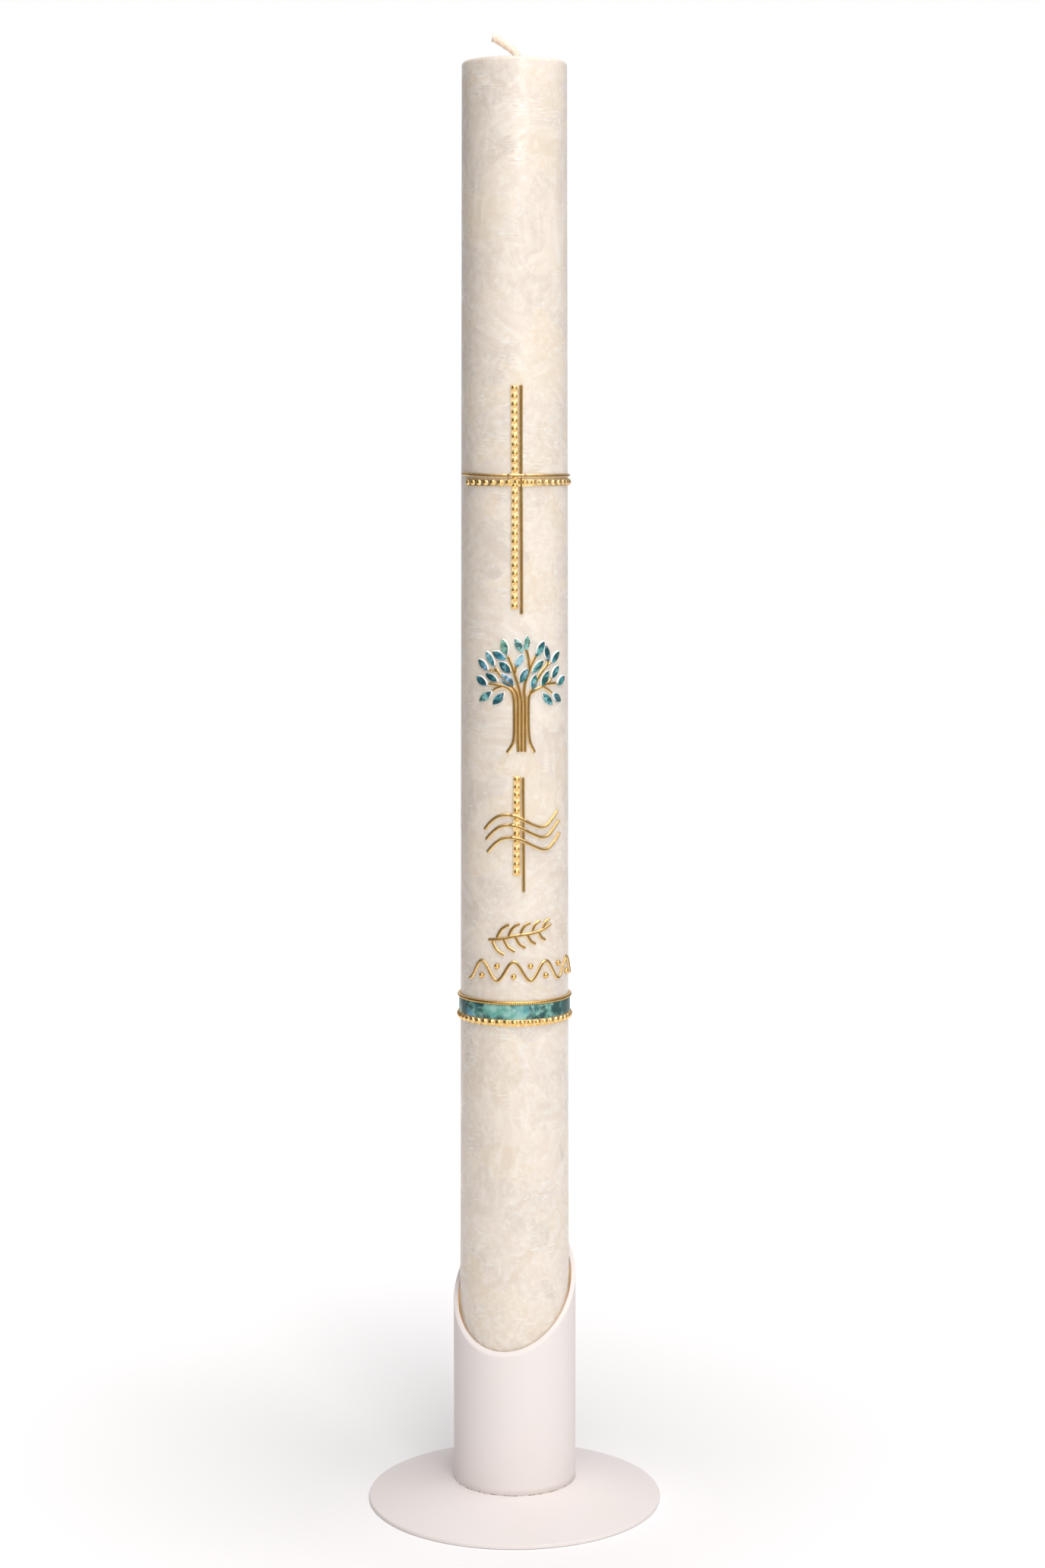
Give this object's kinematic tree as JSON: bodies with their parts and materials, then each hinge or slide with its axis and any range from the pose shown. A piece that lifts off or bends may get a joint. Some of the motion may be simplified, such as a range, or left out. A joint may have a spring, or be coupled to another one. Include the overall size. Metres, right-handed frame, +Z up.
{
  "type": "decorated ceremony candle in a tube holder",
  "caption": "Slim cream wax candle with gold strip cross, tree and wave motifs and a marbled band, standing in a slant-cut white steel tube on a round base plate.",
  "frame": {"origin": "centre of the base plate's underside", "axes": "+Z up along the candle; the decorated front looks along -Y; +X to the right of someone facing the front"},
  "size_m": [0.082, 0.082, 0.4066],
  "materials": {
    "powder_coat": "white powder coat, satin, fine orange peel",
    "wax": "cream wax with a crystalline, faintly feathered skin",
    "wick": "waxed braided cotton",
    "gold_strip": "pale gold foil on wax strip, shiny, finely ribbed",
    "marbled_sheet": "teal, green and pale blue marbled wax sheet, satin"
  },
  "bodies": {
    "holder": {"base_plate": "powder_coat", "holder_tube": "powder_coat", "weld_bead": "powder_coat"},
    "candle": {"candle_body": "wax", "wick": "wick", "cross_upright_pearls": "gold_strip", "cross_upright_wire": "gold_strip", "cross_bar_wire": "gold_strip", "cross_bar_pearls": "gold_strip", "trunk_strip_1": "gold_strip", "trunk_strip_2": "gold_strip", "trunk_strip_3": "gold_strip", "trunk_strip_4": "gold_strip", "trunk_strip_5": "gold_strip", "branch_low_right": "gold_strip", "branch_fork": "gold_strip", "twig_centre": "gold_strip", "twig_left_high": "gold_strip", "twig_right_high": "gold_strip", "twig_right_mid": "gold_strip", "twig_right_low": "gold_strip", "twig_left_low": "gold_strip", "leaf_01": "marbled_sheet", "leaf_02": "marbled_sheet", "leaf_03": "marbled_sheet", "leaf_04": "marbled_sheet", "leaf_05": "marbled_sheet", "leaf_06": "marbled_sheet", "leaf_07": "marbled_sheet", "leaf_08": "marbled_sheet", "leaf_09": "marbled_sheet", "leaf_10": "marbled_sheet", "leaf_11": "marbled_sheet", "leaf_12": "marbled_sheet", "leaf_13": "marbled_sheet", "leaf_14": "marbled_sheet", "leaf_15": "marbled_sheet", "leaf_16": "marbled_sheet", "leaf_17": "marbled_sheet", "leaf_18": "marbled_sheet", "leaf_19": "marbled_sheet", "leaf_20": "marbled_sheet", "leaf_21": "marbled_sheet", "leaf_22": "marbled_sheet", "leaf_23": "marbled_sheet", "leaf_24": "marbled_sheet", "water_upright_pearls": "gold_strip", "water_upright_wire": "gold_strip", "wave_1": "gold_strip", "wave_2": "gold_strip", "wave_3": "gold_strip", "sprig_stem": "gold_strip", "sprig_twigs": "gold_strip", "scroll_wave": "gold_strip", "scroll_beads": "gold_strip", "band_wire_ring": "gold_strip", "marbled_band": "marbled_sheet", "band_pearl_ring": "gold_strip"}
  },
  "joints": [
    {"name": "candle_lift", "type": "slide", "parent": "holder", "child": "candle", "axis": [0, 0, 1], "range_m": [0, 0.08]}
  ]
}
